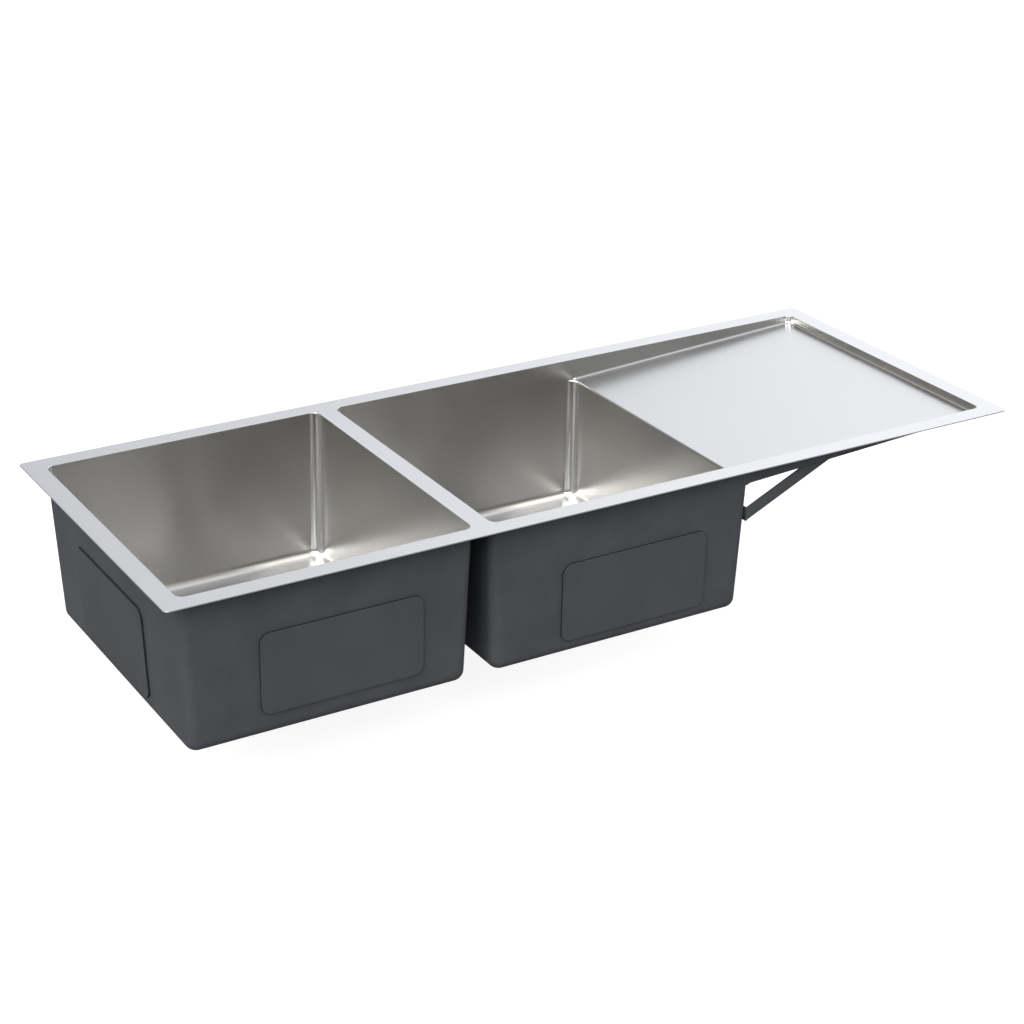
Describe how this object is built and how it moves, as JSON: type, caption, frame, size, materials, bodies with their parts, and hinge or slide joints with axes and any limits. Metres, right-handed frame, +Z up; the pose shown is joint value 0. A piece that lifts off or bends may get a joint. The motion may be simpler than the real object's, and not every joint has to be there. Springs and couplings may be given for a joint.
{
  "type": "sink",
  "caption": "Long inset stainless steel sink: square deep bowls beside a sloping drainboard in one flat rim, with sound pads, braces and basket strainer wastes.",
  "frame": {"origin": "centre of the sink's plan, in the plane of the rim's underside, which is the worktop's top", "axes": "+X along the length towards the drainboard, +Y to the back, +Z up"},
  "size_m": [1.14, 0.45, 0.2825],
  "materials": {
    "rim_steel": "fine long-line satin brushing",
    "bowl_steel": "satin brushed, warm grey reflections",
    "drainboard_steel": "satin brushed along its length",
    "sound_coat": "sprayed matte dark grey sound-deadening coat",
    "sound_pad": "fine-grained rubber pad under the same grey coat",
    "gasket_rubber": "plain black rubber",
    "seal_rubber": "soft black rubber",
    "waste_steel": "polished pressed stainless steel",
    "basket_steel": "polished pressed stainless steel",
    "waste_plastic": "moulded white polypropylene",
    "pipe_plastic": "smooth white polypropylene",
    "insert_brass": "turned brass",
    "screw_steel": "machined stainless steel"
  },
  "bodies": {
    "sink": {"rim_frame": "rim_steel", "bowl_left": "bowl_steel", "bowl_right": "bowl_steel", "drainboard": "drainboard_steel", "coat_left": "sound_coat", "coat_right": "sound_coat", "coat_drainboard": "sound_coat", "brace_front": "sound_coat", "brace_back": "sound_coat", "pad_left_front": "sound_pad", "pad_left_back": "sound_pad", "pad_left_inner": "sound_pad", "pad_left_outer": "sound_pad", "pad_left_bottom": "sound_pad", "pad_right_front": "sound_pad", "pad_right_back": "sound_pad", "pad_right_inner": "sound_pad", "pad_right_outer": "sound_pad", "pad_right_bottom": "sound_pad", "upper_gasket_left": "gasket_rubber", "waste_flange_left": "waste_steel", "lower_gasket_left": "gasket_rubber", "waste_body_left": "waste_plastic", "insert_nut_left": "insert_brass", "clamp_screw_left": "screw_steel", "outlet_washer_left": "gasket_rubber", "outlet_nut_left": "waste_plastic", "tail_pipe_left": "pipe_plastic", "upper_gasket_right": "gasket_rubber", "waste_flange_right": "waste_steel", "lower_gasket_right": "gasket_rubber", "waste_body_right": "waste_plastic", "insert_nut_right": "insert_brass", "clamp_screw_right": "screw_steel", "outlet_washer_right": "gasket_rubber", "outlet_nut_right": "waste_plastic", "tail_pipe_right": "pipe_plastic"},
    "left_basket": {"basket_left": "basket_steel", "basket_seal_left": "seal_rubber", "basket_knob_left": "basket_steel"},
    "right_basket": {"basket_right": "basket_steel", "basket_seal_right": "seal_rubber", "basket_knob_right": "basket_steel"}
  },
  "joints": [
    {"name": "left_basket_lift", "type": "slide", "parent": "sink", "child": "left_basket", "axis": [0, 0, 1], "range_m": [0, 0.24]},
    {"name": "right_basket_lift", "type": "slide", "parent": "sink", "child": "right_basket", "axis": [0, 0, 1], "range_m": [0, 0.24]}
  ]
}
